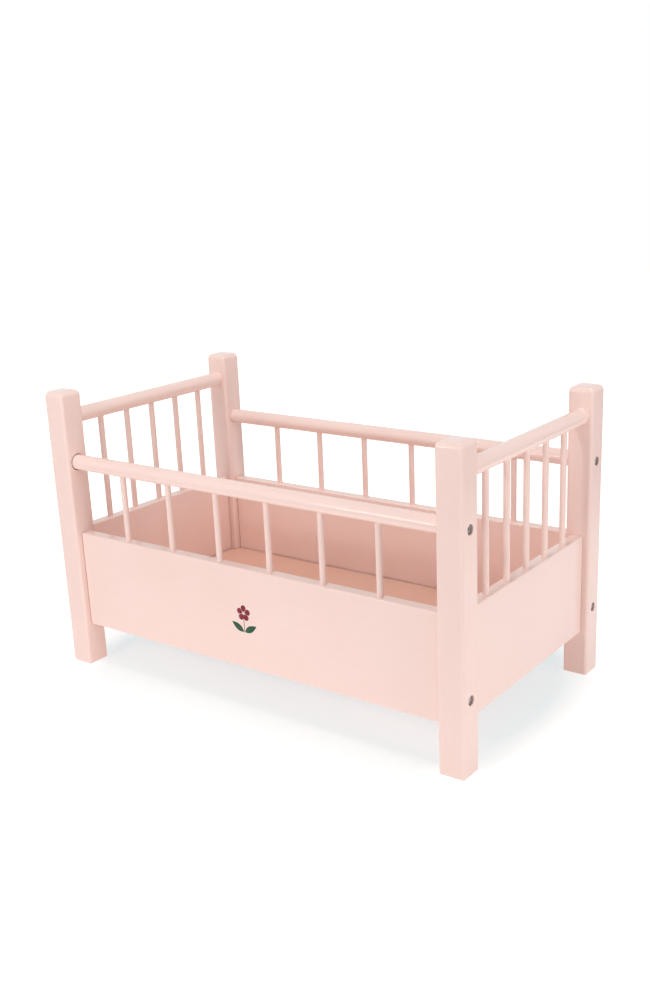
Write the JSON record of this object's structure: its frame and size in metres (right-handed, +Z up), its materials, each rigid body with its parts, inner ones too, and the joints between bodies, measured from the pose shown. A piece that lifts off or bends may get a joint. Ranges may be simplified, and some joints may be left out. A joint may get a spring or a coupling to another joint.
{
  "type": "doll bed",
  "caption": "Painted wooden doll bed with square corner posts, round rails, thin spindles, low panels all round, a floor board and sunken connector bolts.",
  "frame": {"origin": "on the ground under the middle of the bed", "axes": "+X along the bed's length to the right end, +Y from the front to the back, +Z up"},
  "size_m": [0.51, 0.283, 0.309],
  "materials": {
    "painted_post": "blush pink gloss paint",
    "painted_rail": "blush pink gloss paint",
    "painted_spindle": "blush pink gloss paint",
    "painted_panel": "blush pink gloss paint",
    "painted_floor": "blush pink high gloss paint",
    "painted_cleat": "blush pink paint",
    "bolt_steel": "zinc plated steel",
    "insert_brass": "bare brass",
    "dowel_beech": "bare beech"
  },
  "bodies": {
    "root": {"post_front_left": "painted_post", "post_front_right": "painted_post", "post_back_left": "painted_post", "post_back_right": "painted_post", "side_rail_front": "painted_rail", "side_rail_back": "painted_rail", "end_rail_left": "painted_rail", "end_rail_right": "painted_rail", "side_panel_front": "painted_panel", "side_panel_back": "painted_panel", "end_panel_left": "painted_panel", "end_panel_right": "painted_panel", "spindle_front_1": "painted_spindle", "spindle_front_2": "painted_spindle", "spindle_front_3": "painted_spindle", "spindle_front_4": "painted_spindle", "spindle_front_5": "painted_spindle", "spindle_front_6": "painted_spindle", "spindle_back_1": "painted_spindle", "spindle_back_2": "painted_spindle", "spindle_back_3": "painted_spindle", "spindle_back_4": "painted_spindle", "spindle_back_5": "painted_spindle", "spindle_back_6": "painted_spindle", "spindle_left_1": "painted_spindle", "spindle_left_2": "painted_spindle", "spindle_left_3": "painted_spindle", "spindle_left_4": "painted_spindle", "spindle_left_5": "painted_spindle", "spindle_right_1": "painted_spindle", "spindle_right_2": "painted_spindle", "spindle_right_3": "painted_spindle", "spindle_right_4": "painted_spindle", "spindle_right_5": "painted_spindle", "floor_board": "painted_floor", "floor_cleat_front": "painted_cleat", "floor_cleat_back": "painted_cleat", "floor_cleat_left": "painted_cleat", "floor_cleat_right": "painted_cleat", "bolt_rail_front_left": "bolt_steel", "insert_rail_front_left": "insert_brass", "bolt_rail_front_right": "bolt_steel", "insert_rail_front_right": "insert_brass", "bolt_rail_back_left": "bolt_steel", "insert_rail_back_left": "insert_brass", "bolt_rail_back_right": "bolt_steel", "insert_rail_back_right": "insert_brass", "bolt_panel_front_left": "bolt_steel", "insert_panel_front_left": "insert_brass", "bolt_panel_front_right": "bolt_steel", "insert_panel_front_right": "insert_brass", "bolt_panel_back_left": "bolt_steel", "insert_panel_back_left": "insert_brass", "bolt_panel_back_right": "bolt_steel", "insert_panel_back_right": "insert_brass", "dowel_front_left": "dowel_beech", "dowel_front_right": "dowel_beech", "dowel_back_left": "dowel_beech", "dowel_back_right": "dowel_beech"}
  },
  "joints": []
}
